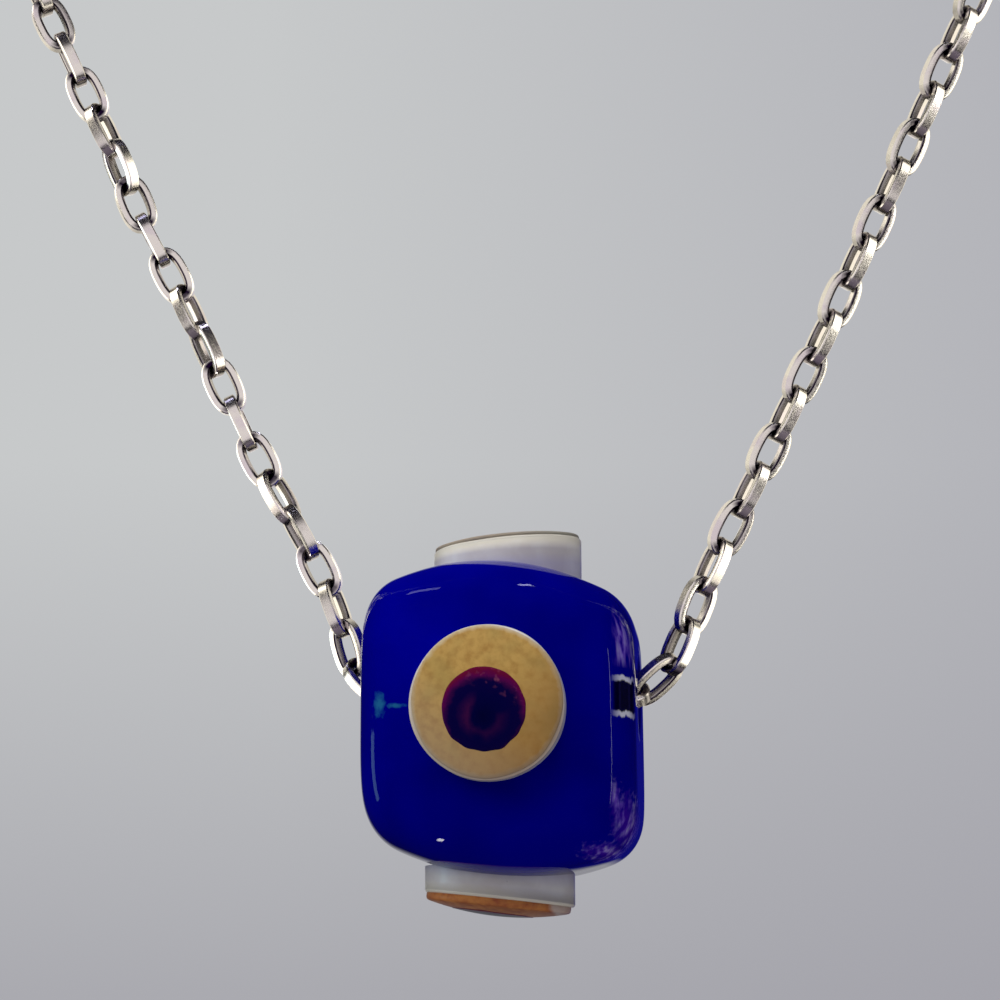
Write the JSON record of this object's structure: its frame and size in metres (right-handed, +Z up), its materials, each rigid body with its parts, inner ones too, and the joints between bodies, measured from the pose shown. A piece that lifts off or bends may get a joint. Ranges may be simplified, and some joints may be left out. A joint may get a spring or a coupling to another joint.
{
  "type": "evil eye bead pendant necklace",
  "caption": "Drilled cushion bead of cobalt glass with raised round eyes, strung on a closed loop of fine oval-link chain.",
  "frame": {"origin": "under the closed clasp at the top of the loop, where the nape or a peg carries the necklace", "axes": "+Z up, from the bead towards the clasp; +X along the bead's hole, to the right in the picture; the front eye faces -Y"},
  "size_m": [0.1008, 0.0146, 0.1667],
  "materials": {
    "cobalt_glass": "fire-polished transparent lampwork glass",
    "white_glass": "fire-polished opaque glass",
    "ochre_glass": "fire-polished opaque glass, faintly mottled",
    "dark_glass": "fire-polished opaque glass, maroon at its rim and near black inside",
    "silver": "polished silver with ground flats"
  },
  "bodies": {
    "necklace": {"chain_right": "silver", "chain_left": "silver", "clasp": "silver", "jump_ring": "silver"},
    "bead": {"bead_glass": "cobalt_glass", "eye_front_base": "white_glass", "eye_front_cap": "ochre_glass", "eye_front_pupil": "dark_glass", "eye_top_base": "white_glass", "eye_top_cap": "ochre_glass", "eye_top_pupil": "dark_glass", "eye_back_base": "white_glass", "eye_back_cap": "ochre_glass", "eye_back_pupil": "dark_glass", "eye_bottom_base": "white_glass", "eye_bottom_cap": "ochre_glass", "eye_bottom_pupil": "dark_glass"}
  },
  "joints": [
    {"name": "bead_turn", "type": "hinge", "parent": "necklace", "child": "bead", "pos_m": [0, 0, -0.1583], "axis": [1, 0, 0], "continuous": true}
  ]
}
